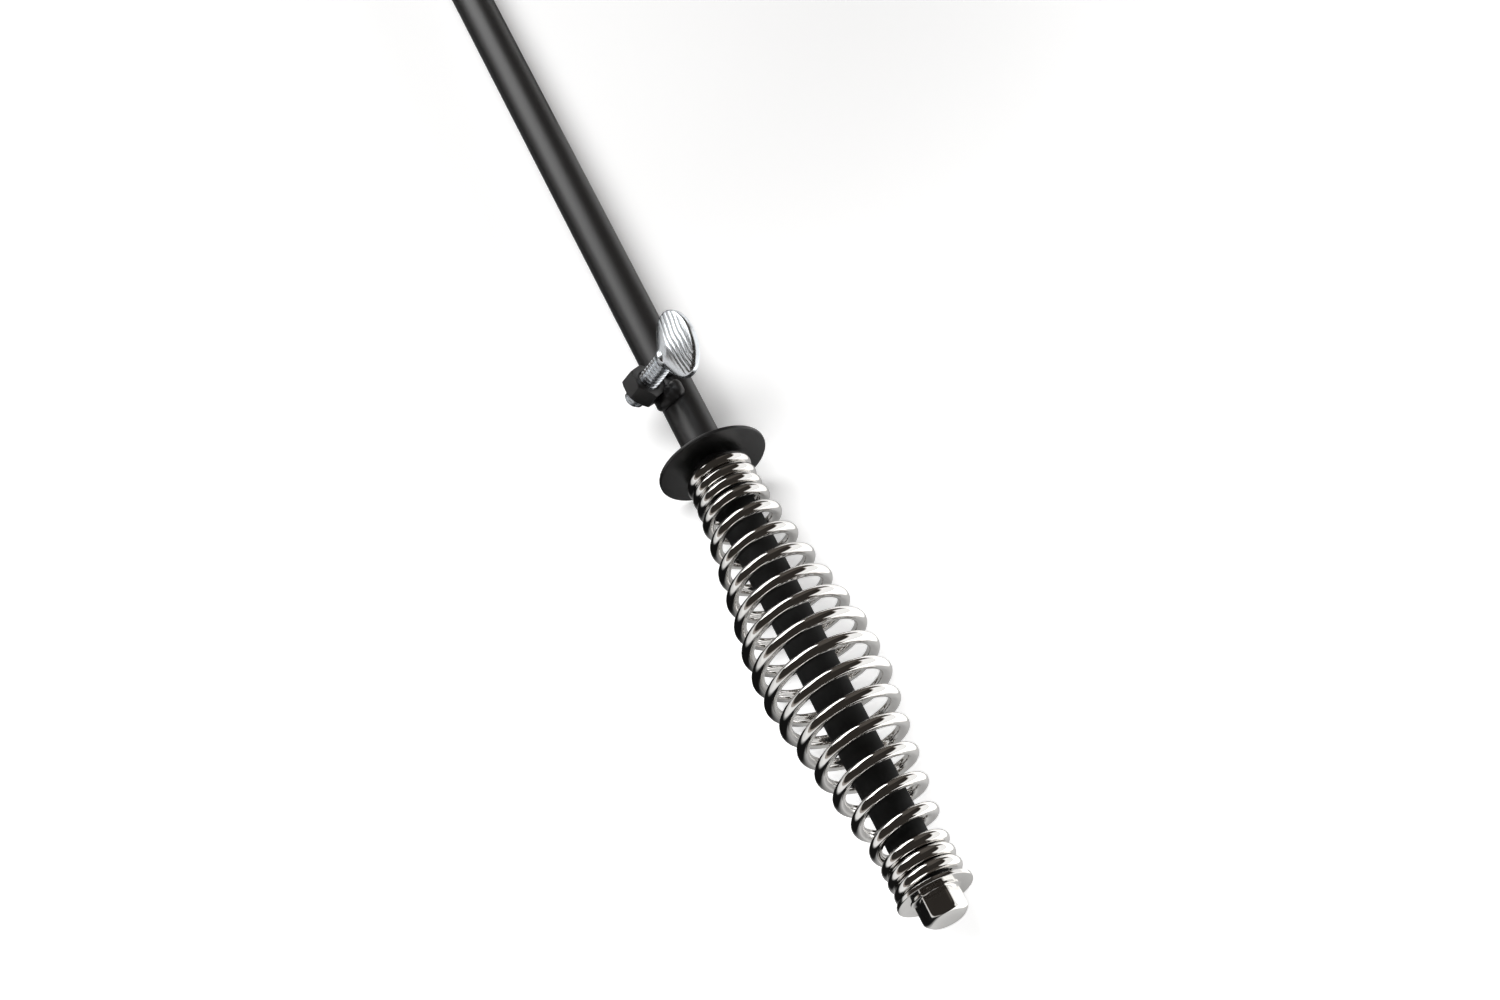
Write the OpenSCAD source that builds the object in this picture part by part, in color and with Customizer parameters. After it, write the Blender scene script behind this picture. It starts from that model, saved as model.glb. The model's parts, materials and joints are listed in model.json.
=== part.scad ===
// Spring-grip tool handle: a steel tube with a barrel-shaped coil spring as a
// cool-running grip, a round guard, an end bolt and a side-welded thumb-screw clamp.
// Millimetres. +X runs along the tube from its open far end towards the grip's
// end bolt, +Z is up. The origin is the centre of the tube's open mouth.

/* [Shaft tube] */
// Outside diameter of the tube
tube_od = 12.7; // [10:0.1:16]
// Wall of the tube
tube_wall = 1.2; // [0.8:0.1:1.6]
// Tube length from its open mouth to the guard's grip-side face
shaft_reach = 240; // [150:1:600]
// Chamfer round the outside of the tube's mouth
mouth_chamfer = 0.4; // [0.2:0.1:0.6]

/* [Guard] */
// Outside diameter of the round guard
guard_d = 34.5; // [28:0.5:50]
// Thickness of the guard plate
guard_t = 1.2; // [0.8:0.1:3]
// Rounding of the guard's two rim edges
guard_edge_r = 0.35; // [0.1:0.05:0.38]
// Leg of the fillet weld that holds the guard to the tube
guard_weld_leg = 2.2; // [1:0.1:4]

/* [Spring grip] */
// Length of the grip, from the guard's face to the end washer
grip_len = 150.6; // [135:0.5:220]
// Wire diameter of the spring
wire_d = 3.6; // [2.5:0.1:4]
// Outside diameter of the spring at its belly
belly_d = 38; // [30:0.5:50]
// Number of turns from one wire end to the other
coil_turns = 20.05; // [16:0.05:24]
// Turns wound close against the guard
closed_turns_guard = 3.85; // [2:0.05:5]
// Turns wound close against the end washer
closed_turns_end = 2.7; // [2:0.05:5]
// Gap between the close turns
closed_gap = 0.46; // [0.42:0.02:0.8]
// Shift of the open turns towards the belly, which gives way most when squeezed
belly_squeeze = 0.65; // [0:0.05:0.8]
// Length of the belly's full-size stretch
crown_len = 17; // [5:0.5:40]
// Axial length of each tapering stretch beside the belly
taper_len = 56; // [30:0.5:60]
// Clearance between the close turns and the tube
coil_clear = 0.25; // [0.1:0.05:0.5]

/* [End bolt] */
// Diameter of the end bolt's shank
bolt_d = 6.35; // [5:0.05:6.5]
// Length of the bolt under its head
bolt_len = 19; // [12:0.5:19]
// Width across the flats of the bolt head
head_af = 12; // [10:0.1:12.5]
// Height of the bolt head, flange included
head_h = 7.8; // [5:0.1:10]
// Diameter of the small flange at the foot of the head
flange_d = 15.2; // [14.5:0.1:18]
// Height over which that flange flares out
flange_h = 1.3; // [0.8:0.1:2]
// Outside diameter of the end washer
washer_d = 22.8; // [20:0.2:30]
// Thickness of the end washer
washer_t = 1.2; // [0.8:0.1:2.5]
// Length of the threaded plug inside the tube's end
plug_len = 18; // [10:0.5:20]

/* [Clamp nut] */
// Distance from the guard's grip-side face back to the nut's centre
nut_setback = 30.3; // [24:0.1:60]
// Width across the flats of the nut
nut_af = 11.1; // [10:0.1:13]
// Height of the nut along the screw
nut_h = 5.6; // [4:0.1:8]
// Angle round the tube at which the nut sits, from straight up towards -Y
nut_roll = 55; // [0:1:90]
// Radius of the weld bead beside the nut
bead_r = 2.2; // [1.6:0.1:2.6]

/* [Thumb screw] */
// Outside diameter of the screw's thread
screw_d = 6.35; // [5:0.05:6.4]
// Bare thread between the nut and the head's neck
screw_out = 8.4; // [6:0.2:14]
// Length of the screw's tip past the nut
tip_out = 4.2; // [1:0.1:6]
// Width of the flat spade head
wing_w = 24.2; // [20:0.2:30]
// Height of the spade head above its neck
wing_h = 15.6; // [13:0.1:20]
// Thickness of the spade head at its rim
wing_rim_t = 3; // [1.6:0.1:3.4]
// Thickness of the spade head at its neck
wing_neck_t = 6; // [3.6:0.1:6.2]
// Turn of the spade head about the screw, from the line of the tube
wing_turn = -3; // [-45:1:45]

/* [Hidden] */

$fn = 64;

fit_gap = 0.05;        // radial clearance where one round piece sits in another
seat_gap = 0.1;        // clearance between the spring's wire ends and their seats
tube_r = tube_od / 2;
bore_r = tube_r - tube_wall;

// Stations along the tube
guard_x = shaft_reach;
tube_end_x = guard_x + grip_len;
washer_x = tube_end_x;
head_x = washer_x + washer_t;
nut_x = guard_x - nut_setback;

// The plug sits in a counterbore that is a little wider than the tube's bore
seat_step = 0.35;
seat_spare = 0.6;              // how much deeper the counterbore is than the plug
plug_seat_r = bore_r + seat_step;
plug_x = tube_end_x - plug_len;
seat_x = plug_x - seat_spare;
plug_chamfer = 0.5;

head_chamfer = 0.9;
flange_rim = 0.35;             // upright edge of the bolt's flange
flange_flare = 1.9;            // how far the flange's hollow flare reaches in
hex_corner = 2 / sqrt(3);      // corner-to-corner width of a hexagon 1 across its flats
head_turn = 15;                // turn of the bolt's hexagon about the tube

// Clamp nut: one flat lies against the side of the tube
nut_offset = tube_r + fit_gap + nut_af / 2;
nut_chamfer = 0.7;
thread_gap = 0.05;             // running clearance between the screw and the nut
tip_chamfer = 0.8;

// Spade head: an oval blade on a short round neck
oval_lift = 0.6;               // height of the oval's lowest point above the neck's foot
neck_r = screw_d / 2 + 0.5;
neck_h = 1.6;
edge_round = 0.35;             // share of the rim's thickness that is rounded off

// Spring wire
ring_steps = 8;                // rings in one turn
wire_sides = 6;
coil_start = 225 - 180 * (coil_turns - 20); // angle of the wire's first end, from +Y
                               // towards +Z, that puts the belly's rings on the axes
ramp_guard = 2;               // turns over which the pitch opens near the guard
ramp_end = 0.6;                // turns over which it closes near the washer
taper_power = 1.15;            // how hollow the tapering stretches are

wire_r = wire_d / 2;
wire_flat = wire_r * cos(180 / wire_sides);
coil_end_r = (tube_r + coil_clear + wire_flat) / cos(180 / ring_steps);
coil_belly_r = belly_d / 2 - wire_r;
closed_pitch = wire_d + closed_gap;
coil_span = grip_len - wire_d - 2 * seat_gap;
open_from = closed_turns_guard;
open_to = coil_turns - closed_turns_end;
open_pitch = closed_pitch + (coil_span - closed_pitch * coil_turns) / (open_to - open_from);

// Integral of a step from 0 to 1 at turn a that is softened over w turns
function soft_step_sum(t, a, w) =
  let (u = (t - a) / w + 0.5)
  u <= 0 ? 0 : u >= 1 ? t - a : w * u * u / 2;

// Distance of the wire's centre from its first ring, after t turns
function coil_advance(t) =
  let (q = min(max((t - open_from) / (open_to - open_from), 0), 1))
  closed_pitch * t
  + (open_pitch - closed_pitch)
    * (soft_step_sum(t, open_from, ramp_guard) - soft_step_sum(t, open_to, ramp_end))
  + belly_squeeze * sin(360 * q);

// Radius of the wire's centre line at distance s along the coil
function coil_radius(s) =
  let (
    away = abs(s - coil_span / 2) - crown_len / 2,
    q = min(max(away / taper_len, 0), 1)
  )
  coil_end_r + (coil_belly_r - coil_end_r) * pow(1 - q, taper_power);

// Centre of the wire after t turns
function coil_centre(t) =
  let (
    s = coil_advance(t),
    r = coil_radius(s),
    a = coil_start + 360 * t
  )
  [guard_x + seat_gap + wire_r + s, r * cos(a), r * sin(a)];

// One ring of the wire after t turns; a corner points along the tube
function wire_ring(t) =
  let (
    c = coil_centre(t),
    a = coil_start + 360 * t,
    out = [0, cos(a), sin(a)]
  )
  [for (k = [0 : wire_sides - 1])
    let (b = 360 * k / wire_sides)
    c + wire_r * (cos(b) * [1, 0, 0] + sin(b) * out)];

coil_rings = 2 * ceil(coil_turns * ring_steps / 2);
wire_rings = [for (i = [0 : coil_rings]) wire_ring(i * coil_turns / coil_rings)];

// Least distance between the points of rings that lie about one turn apart
function ring_gap(p, q) = min([for (a = p) min([for (b = q) norm(a - b)])]);
least_gap = min([
  for (i = [0 : coil_rings - ring_steps + 1], j = [ring_steps - 1 : ring_steps + 1])
    if (i + j <= coil_rings) ring_gap(wire_rings[i], wire_rings[i + j])
]);
echo(str("spring_grip: least gap to itself ", least_gap, " mm, open pitch ", open_pitch, " mm"));

// Turns a shape that stands on local Z so that it runs along the tube
module along_tube(x) translate([x, 0, 0]) rotate([90, 0, 90]) children();

// Local Z runs up the thumb screw to its head, local Y points at the tube's axis
module on_screw()
  translate([nut_x, 0, 0])
    rotate([nut_roll, 0, 0])
      translate([0, 0, nut_offset])
        rotate([-90, 0, 0])
          children();

// Hexagonal prism from z = 0, with both ends turned off to a round
module hex_prism(af, h, low_chamfer, high_chamfer) {
  corner_r = af * hex_corner / 2;
  drop = 0.58;                 // rise of the chamfer cone for each unit of radius
  intersection() {
    cylinder(r = corner_r, h = h, $fn = 6);
    rotate_extrude()
      polygon([
        [0, 0],
        [corner_r - low_chamfer, 0],
        [corner_r, drop * low_chamfer],
        [corner_r, h - drop * high_chamfer],
        [corner_r - high_chamfer, h],
        [0, h]
      ]);
  }
}

module shaft_tube()
  color("#26262a")
    along_tube(0)
      difference() {
        rotate_extrude()
          polygon([
            [0, 0],
            [tube_r - mouth_chamfer, 0],
            [tube_r, mouth_chamfer],
            [tube_r, tube_end_x],
            [0, tube_end_x]
          ]);
        translate([0, 0, -1]) cylinder(r = bore_r, h = tube_end_x + 2);
        translate([0, 0, seat_x]) cylinder(r = plug_seat_r, h = tube_end_x - seat_x + 1);
      }

module end_plug()
  color("#77787a")
    along_tube(plug_x)
      difference() {
        rotate_extrude()
          polygon([
            [0, 0],
            [plug_seat_r - fit_gap - plug_chamfer, 0],
            [plug_seat_r - fit_gap, plug_chamfer],
            [plug_seat_r - fit_gap, plug_len],
            [0, plug_len]
          ]);
        translate([0, 0, -1]) cylinder(r = bolt_d / 2 + fit_gap, h = plug_len + 2);
      }

module end_bolt()
  color("#d9d6d2")
    along_tube(head_x) {
      rotate([0, 0, head_turn]) hex_prism(head_af, head_h, 0.3, head_chamfer);
      rotate_extrude()
        difference() {
          square([flange_d / 2, flange_h]);
          translate([flange_d / 2, flange_h + flange_rim])
            scale([flange_flare / flange_h, 1]) circle(r = flange_h);
        }
      mirror([0, 0, 1])
        rotate_extrude()
          polygon([
            [0, 0],
            [bolt_d / 2, 0],
            [bolt_d / 2, bolt_len - tip_chamfer],
            [bolt_d / 2 - tip_chamfer, bolt_len],
            [0, bolt_len]
          ]);
    }

module end_washer()
  color("#cfccc8")
    along_tube(washer_x)
      difference() {
        cylinder(d = washer_d, h = washer_t);
        translate([0, 0, -1]) cylinder(r = bolt_d / 2 + 3 * fit_gap, h = washer_t + 2);
      }

module guard_disc()
  color("#2c2c2e")
    along_tube(guard_x - guard_t)
      difference() {
        rotate_extrude()
          union() {
            square([guard_d / 2 - guard_edge_r, guard_t]);
            translate([0, guard_edge_r]) square([guard_d / 2, guard_t - 2 * guard_edge_r]);
            for (z = [guard_edge_r, guard_t - guard_edge_r])
              translate([guard_d / 2 - guard_edge_r, z]) circle(r = guard_edge_r);
          }
        translate([0, 0, -1]) cylinder(r = tube_r + fit_gap, h = guard_t + 2);
      }

// A ring of weld in the corner behind the guard, hollow like a real fillet
module guard_weld()
  color("#222225")
    along_tube(guard_x - guard_t)
      mirror([0, 0, 1])
        rotate_extrude()
          difference() {
            translate([tube_r + fit_gap, 0]) square(guard_weld_leg);
            translate([tube_r + fit_gap + 1.25 * guard_weld_leg, 1.25 * guard_weld_leg])
              circle(r = 1.2 * guard_weld_leg);
          }

module spring_grip() {
  n = wire_sides;
  body = [
    for (i = [0 : coil_rings - 1], k = [0 : n - 1])
      let (a = i * n + k, b = i * n + (k + 1) % n)
      each [[a, a + n, b], [b, a + n, b + n]]
  ];
  first_cap = [for (k = [1 : n - 2]) [0, k, k + 1]];
  last = coil_rings * n;
  last_cap = [for (k = [1 : n - 2]) [last, last + k + 1, last + k]];
  color("#dedbd6")
    polyhedron(
      points = [for (ring = wire_rings) each ring],
      faces = concat(first_cap, body, last_cap)
    );
}

module clamp_nut()
  color("#232326")
    on_screw()
      difference() {
        translate([0, 0, -nut_h / 2]) hex_prism(nut_af, nut_h, nut_chamfer, nut_chamfer);
        translate([0, 0, -nut_h]) cylinder(r = screw_d / 2 + thread_gap, h = 2 * nut_h);
      }

// A run of weld beside the nut, laid as overlapping drops that follow the tube's side
module nut_weld(side) {
  drops = 7;
  on_screw()
    difference() {
      for (i = [0 : drops - 1])
        let (
          t = 2 * i / (drops - 1) - 1,
          z = tube_r * (0.12 + 0.56 * t),
          y = nut_offset - sqrt(tube_r * tube_r - z * z)
        )
        translate([side * (0.46 * nut_af + 1.1 * (1 - t * t)), y, z])
          sphere(r = bead_r * (1 + 0.22 * t), $fn = 32);
      translate([0, nut_offset, 0]) rotate([0, 90, 0])
        cylinder(r = tube_r + fit_gap, h = 40, center = true);
      translate([0, 0, -nut_h])
        cylinder(r = (nut_af / 2 + fit_gap) * hex_corner, h = 2 * nut_h, $fn = 6);
    }
}

module nut_weld_grip_side() color("#1f1f22") nut_weld(1);

module nut_weld_far_side() color("#1f1f22") nut_weld(-1);

module thumb_screw_shank()
  color("#b9c0c6")
    on_screw()
      translate([0, 0, -nut_h / 2 - tip_out])
        rotate_extrude()
          polygon([
            [0, 0],
            [screw_d / 2 - tip_chamfer, 0],
            [screw_d / 2, tip_chamfer],
            [screw_d / 2, tip_out + nut_h + screw_out],
            [0, tip_out + nut_h + screw_out]
          ]);

// A flat round button in the plane of the spade, with softened edges
module button(r, t)
  rotate([90, 0, 0])
    rotate_extrude()
      polygon([
        [0, -t / 2],
        [r - edge_round * t, -t / 2],
        [r, -t * (0.5 - edge_round)],
        [r, t * (0.5 - edge_round)],
        [r - edge_round * t, t / 2],
        [0, t / 2]
      ]);

// Oval forged spade, thick at the neck and thinner towards its rim
module thumb_screw_head() {
  oval_h = wing_h - oval_lift;
  color("#c6ced6")
    on_screw()
      translate([0, 0, nut_h / 2 + screw_out])
        rotate([0, 0, wing_turn]) {
          cylinder(r1 = screw_d / 2, r2 = neck_r, h = neck_h);
          hull() {
            translate([0, 0, neck_r]) button(neck_r, wing_neck_t);
            translate([0, 0, oval_lift + oval_h / 2])
              scale([wing_w / oval_h, 1, 1]) button(oval_h / 2, wing_rim_t);
          }
        }
}

shaft_tube();
end_plug();
end_bolt();
end_washer();
spring_grip();
guard_disc();
guard_weld();
clamp_nut();
nut_weld_grip_side();
nut_weld_far_side();
thumb_screw_shank();
thumb_screw_head();
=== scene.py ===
# %% [markdown]
# # A spring-grip tool handle
#
# This lesson dresses a steel tool handle. A black tube runs through a round guard and on
# through a barrel-shaped coil spring, which is the grip: air passes between its turns, so it
# stays cool. A flanged bolt and a washer hold the spring at the end. A nut is welded to the
# tube's side, and a thumb screw with a spade head runs through it.
#
# The construction comes as a fixed frame of solids. Nothing of the frame is moved here: each
# step makes the finer piece that stands for one of its solids, at the place the solid has.

# %% Load the frame
import json
import math
import random

import bmesh
import bpy
from mathutils import Matrix, Vector, noise


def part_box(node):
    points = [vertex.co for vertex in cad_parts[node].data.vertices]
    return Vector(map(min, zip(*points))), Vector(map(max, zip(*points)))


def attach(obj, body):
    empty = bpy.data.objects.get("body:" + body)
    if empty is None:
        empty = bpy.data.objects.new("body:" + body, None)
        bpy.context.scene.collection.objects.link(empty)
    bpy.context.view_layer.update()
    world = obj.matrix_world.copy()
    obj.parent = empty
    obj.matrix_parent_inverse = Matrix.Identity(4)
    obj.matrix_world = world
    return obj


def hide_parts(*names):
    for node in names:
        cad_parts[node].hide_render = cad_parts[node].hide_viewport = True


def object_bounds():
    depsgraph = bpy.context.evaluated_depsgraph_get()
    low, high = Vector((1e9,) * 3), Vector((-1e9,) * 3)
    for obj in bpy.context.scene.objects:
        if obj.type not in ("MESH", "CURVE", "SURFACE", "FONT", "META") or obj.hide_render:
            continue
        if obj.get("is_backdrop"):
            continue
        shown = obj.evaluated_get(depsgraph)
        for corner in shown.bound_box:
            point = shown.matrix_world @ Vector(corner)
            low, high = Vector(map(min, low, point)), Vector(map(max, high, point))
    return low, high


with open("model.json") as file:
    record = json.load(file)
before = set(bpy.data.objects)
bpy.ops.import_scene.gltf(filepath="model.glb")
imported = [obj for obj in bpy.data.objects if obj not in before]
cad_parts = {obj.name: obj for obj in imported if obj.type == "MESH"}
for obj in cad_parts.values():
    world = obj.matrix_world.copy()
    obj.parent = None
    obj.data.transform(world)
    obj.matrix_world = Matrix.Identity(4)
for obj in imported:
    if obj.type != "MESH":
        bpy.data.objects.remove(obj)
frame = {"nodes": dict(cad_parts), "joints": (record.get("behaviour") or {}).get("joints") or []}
cad_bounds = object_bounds()
MM = 0.001
print("solids in the frame:", ", ".join(sorted(frame["nodes"])))

# %% [markdown]
# ## Sizes that the frame gives
#
# The frame is in metres with +X along the tube. Most sizes are read from the boxes of its
# solids, so that a piece always fits what carries it. The screw's axis is the axis of its
# joint, and the nut's centre is the point the joint turns about. The end bolt and the thumb
# screw have the same quarter-inch thread.

# %% Read the driving sizes
tube_low, tube_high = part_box("shaft_tube")
TUBE_R = (tube_high.z - tube_low.z) / 2
TUBE_END = tube_high.x
TUBE_WALL = 1.2 * MM

guard_low, guard_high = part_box("guard_disc")
GUARD_R = (guard_high.y - guard_low.y) / 2
GUARD_FACE = guard_high.x
GUARD_BACK = guard_low.x

washer_low, washer_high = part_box("end_washer")
WASHER_R = (washer_high.y - washer_low.y) / 2
HEAD_FOOT = washer_high.x

THREAD_R = 3.175 * MM

turn_joint = next(j for j in frame["joints"] if j["name"] == "screw_turn")
NUT_CENTRE = Vector(turn_joint["pos_m"])
SCREW_UP = -Vector(turn_joint["axis"]).normalized()
print(f"tube {2 * TUBE_R / MM:.1f} mm across, guard face at {GUARD_FACE / MM:.1f} mm")

# %% [markdown]
# ## Two standing places
#
# Round pieces are easiest to make upright, with their axis on Z. One matrix then lays such a
# piece along the tube, and another stands it on the thumb screw's axis. In the screw's own
# frame X runs along the tube and Y points at the tube's centre line.

# %% Matrices for the tube and the screw
ALONG_TUBE = Matrix(((0, 0, 1, 0), (1, 0, 0, 0), (0, 1, 0, 0), (0, 0, 0, 1)))

screw_side = SCREW_UP.cross(Vector((1, 0, 0)))
ON_SCREW = Matrix.Translation(NUT_CENTRE) @ Matrix(
    ((1, 0, 0), screw_side, SCREW_UP)
).transposed().to_4x4()
NUT_TO_TUBE = -NUT_CENTRE.dot(screw_side)
print(f"the nut's centre is {NUT_TO_TUBE / MM:.2f} mm from the tube's centre line")

# %% [markdown]
# ## Small helpers
#
# Operators act on whatever is selected, and the frame arrives selected, so each step says
# first what it holds. Faces and edges are picked by a test of their place or direction. A
# finished piece sits at the origin with its place in its mesh, as the frame's solids do.

# %% Helpers for holding, placing and picking
NEAR = 0.01 * MM


def clear_selection():
    """Goes to object mode with nothing selected."""
    if bpy.context.mode != "OBJECT":
        bpy.ops.object.mode_set(mode="OBJECT")
    bpy.ops.object.select_all(action="DESELECT")


def hold(piece):
    """Makes a piece the only one that operators act on."""
    clear_selection()
    piece.select_set(True)
    bpy.context.view_layer.objects.active = piece


def settle(piece):
    """Moves a piece's place, turn and size from its object into its mesh."""
    hold(piece)
    bpy.ops.object.transform_apply(location=True, rotation=True, scale=True)


def named(name):
    """Names the primitive that was just added, and settles it."""
    piece = bpy.context.object
    piece.name = name
    piece.data.name = name
    settle(piece)
    return piece


def stand(piece, place):
    """Moves a piece that was made at the origin to its place."""
    piece.matrix_world = place @ piece.matrix_world
    settle(piece)


def lay(piece, x):
    """Lays an upright piece along the tube, with its foot at x."""
    stand(piece, Matrix.Translation((x, 0, 0)) @ ALONG_TUBE)


def open_whole(piece):
    """Opens a piece in edit mode with all of it selected."""
    hold(piece)
    bpy.ops.object.mode_set(mode="EDIT")
    bpy.ops.mesh.select_all(action="SELECT")


def pick(piece, kind, test):
    """Opens a piece in edit mode with only the parts selected that pass the test."""
    hold(piece)
    bpy.ops.object.mode_set(mode="EDIT")
    bpy.ops.mesh.select_mode(type=kind)
    bpy.ops.mesh.select_all(action="DESELECT")
    mesh = bmesh.from_edit_mesh(piece.data)
    parts = {"VERT": mesh.verts, "EDGE": mesh.edges, "FACE": mesh.faces}[kind]
    for part in parts:
        if test(part):
            part.select_set(True)
    bmesh.update_edit_mesh(piece.data)


def close_edit():
    bpy.ops.object.mode_set(mode="OBJECT")


# %% Helpers for shaping and finishing
def clamped(value):
    """The value, kept from 0 to 1."""
    return min(max(value, 0), 1)


def shape_with(piece, kind, **settings):
    """Adds a modifier, sets it and applies it."""
    hold(piece)
    bpy.ops.object.modifier_add(type=kind)
    modifier = piece.modifiers[-1]
    for name, value in settings.items():
        setattr(modifier, name, value)
    bpy.ops.object.modifier_apply(modifier=modifier.name)


def cut_with(piece, tool, how):
    """Combines a piece with a tool solid, which is then thrown away."""
    shape_with(piece, "BOOLEAN", operation=how, object=tool, solver="EXACT")
    bpy.data.objects.remove(tool)


def melt(piece, grid, rounds):
    """Makes one skin of an even grid over a piece, and smooths its edges down."""
    shape_with(piece, "REMESH", mode="VOXEL", voxel_size=grid)
    shape_with(piece, "SMOOTH", factor=0.5, iterations=rounds)


def join(name, pieces):
    """Makes one piece of several, under a new name."""
    clear_selection()
    for piece in pieces:
        piece.select_set(True)
    bpy.context.view_layer.objects.active = pieces[0]
    bpy.ops.object.join()
    return named(name)


def smooth(piece, limit_deg=30):
    """Shades a piece smooth, apart from the edges that turn by more than the limit."""
    hold(piece)
    bpy.ops.object.shade_smooth_by_angle(angle=math.radians(limit_deg))


def report(piece):
    size = [round(v / MM, 1) for v in piece.dimensions]
    print(f"{piece.name}: {size} mm, {len(piece.data.polygons)} faces")


# %% [markdown]
# ## Turned shapes
#
# A lathe makes most of these pieces. The Spin tool is Blender's lathe: it sweeps an outline,
# drawn as radius and height, once round the Z axis. The ends of the sweep meet, so doubled
# points are merged, and the normals are made to point outwards.

# %% The lathe
MERGE_GAP = 0.001 * MM
ROUND_STEPS = 96
BORE_STEPS = 64
RIM_STEPS = 160


def placed(name, data):
    """Puts a new mesh or curve in the scene as an object."""
    piece = bpy.data.objects.new(name, data)
    bpy.context.scene.collection.objects.link(piece)
    return piece


def drawn(name, outline):
    """An open line of edges through (radius, height) points."""
    mesh = bpy.data.meshes.new(name)
    points = [(radius, 0, height) for radius, height in outline]
    mesh.from_pydata(points, [(i, i + 1) for i in range(len(points) - 1)], [])
    return placed(name, mesh)


def turned(name, outline, steps=ROUND_STEPS):
    """A closed round solid from (radius, height) points that start and end on the axis."""
    piece = drawn(name, outline)
    open_whole(piece)
    bpy.ops.mesh.spin(
        steps=steps, angle=2 * math.pi, center=(0, 0, 0), axis=(0, 0, 1), use_auto_merge=True
    )
    bpy.ops.mesh.select_all(action="SELECT")
    bpy.ops.mesh.remove_doubles(threshold=MERGE_GAP)
    bpy.ops.mesh.normals_make_consistent(inside=False)
    close_edit()
    return piece


def rounded(corner, radius, start_deg, end_deg, steps=5):
    """Outline points of an arc about a corner point, given as (radius, height)."""
    angles = [
        math.radians(start_deg + (end_deg - start_deg) * i / steps) for i in range(steps + 1)
    ]
    return [
        (corner[0] + radius * math.cos(a), corner[1] + radius * math.sin(a)) for a in angles
    ]


# %% [markdown]
# ## The camera
#
# The camera looks down at the grip from beyond its end, so that the tube runs away to the
# upper left. A longish lens keeps the tube nearly the same width all along.

# %% Camera
CAMERA_PLACE = (0.6193, -0.1741, 0.6328)
CAMERA_TURN_DEG = (32.612, -1.495, 66.102)
LENS_MM = 60.55
SENSOR_MM = 36

bpy.ops.object.camera_add(
    location=CAMERA_PLACE, rotation=[math.radians(v) for v in CAMERA_TURN_DEG]
)
camera = bpy.context.object
camera.data.lens = LENS_MM
camera.data.sensor_width = SENSOR_MM
camera.data.sensor_fit = "HORIZONTAL"
bpy.context.scene.camera = camera
print("camera lens:", LENS_MM, "mm")

# %% [markdown]
# ## Small tools for materials
#
# A material is a tree of nodes, and a node's sockets are either linked or filled with a value
# of their own. These helpers add a node, link it, and build the few combinations that come
# back in every finish: a sum or product, a ramp, a soft step and a blend.

# %% Node helpers
def add(tree, kind, **settings):
    """Adds a node. Settings that name a socket fill it, and the others are its properties."""
    node = tree.nodes.new(kind)
    for name, value in settings.items():
        if hasattr(node, name):
            setattr(node, name, value)
        else:
            node.inputs[name.replace("_", " ")].default_value = value
    return node


def join_up(tree, *pairs):
    """Links each pair of an output and an input."""
    for out, into in pairs:
        tree.links.new(out, into)


def fill(tree, socket, value):
    """Links a socket to another one, or gives it a number or a colour."""
    if isinstance(value, bpy.types.NodeSocket):
        join_up(tree, (value, socket))
    elif isinstance(value, tuple):
        socket.default_value = (*value, 1)
    else:
        socket.default_value = value


def coordinates(tree, kind):
    """Texture coordinates of one kind: the whole vector, and its X, Y and Z."""
    place = add(tree, "ShaderNodeTexCoord").outputs[kind]
    axes = add(tree, "ShaderNodeSeparateXYZ")
    join_up(tree, (place, axes.inputs[0]))
    return place, axes.outputs


def combined(tree, how, first, second):
    """The sum, product or other combination of two values, each a socket or a number."""
    node = add(tree, "ShaderNodeMath", operation=how)
    for socket, value in zip(node.inputs, (first, second)):
        fill(tree, socket, value)
    return node.outputs[0]


def between(tree, factor, low, high):
    """A number that runs from low to high with the factor."""
    ramp = add(tree, "ShaderNodeMapRange", To_Min=low, To_Max=high)
    join_up(tree, (factor, ramp.inputs["Value"]))
    return ramp.outputs[0]


def stepped(tree, value, start, end, low=0.0, high=1.0):
    """A soft step from low to high while the value runs from start to end."""
    step = add(
        tree,
        "ShaderNodeMapRange",
        interpolation_type="SMOOTHSTEP",
        From_Min=start,
        From_Max=end,
        To_Min=low,
        To_Max=high,
    )
    join_up(tree, (value, step.inputs["Value"]))
    return step.outputs["Result"]


def blend_numbers(tree, factor, low, high):
    mix = add(tree, "ShaderNodeMix", data_type="FLOAT")
    for name, value in (("Factor", factor), ("A", low), ("B", high)):
        fill(tree, mix.inputs[name], value)
    return mix.outputs["Result"]


def blend_colours(tree, factor, low, high):
    # the node has sockets for each kind of value, and its colours are inputs 6 and 7
    mix = add(tree, "ShaderNodeMix", data_type="RGBA")
    for index, value in ((0, factor), (6, low), (7, high)):
        fill(tree, mix.inputs[index], value)
    return mix.outputs[2]


def bump(tree, height, distance, strength):
    node = add(tree, "ShaderNodeBump", Strength=strength, Distance=distance)
    join_up(tree, (height, node.inputs["Height"]))
    return node.outputs["Normal"]


# %% [markdown]
# ## Surface effects as node groups
#
# Two effects come back in several finishes, so each is a node group with named inputs. The
# first is the fine skin of sprayed paint or plating: tiny bumps and a slow drift of shade.
# The second is a field of short fine scratches, which are noise that is stretched along the
# tube and cut off at a level. The groups take their sizes in millimetres.

# %% Skin group
def new_group(name, inputs, outputs):
    """An empty node group with number sockets."""
    group = bpy.data.node_groups.new(name, "ShaderNodeTree")
    for socket, default in inputs.items():
        made = group.interface.new_socket(
            name=socket, in_out="INPUT", socket_type="NodeSocketFloat"
        )
        made.default_value = default
    for socket in outputs:
        group.interface.new_socket(name=socket, in_out="OUTPUT", socket_type="NodeSocketFloat")
    return group


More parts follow.
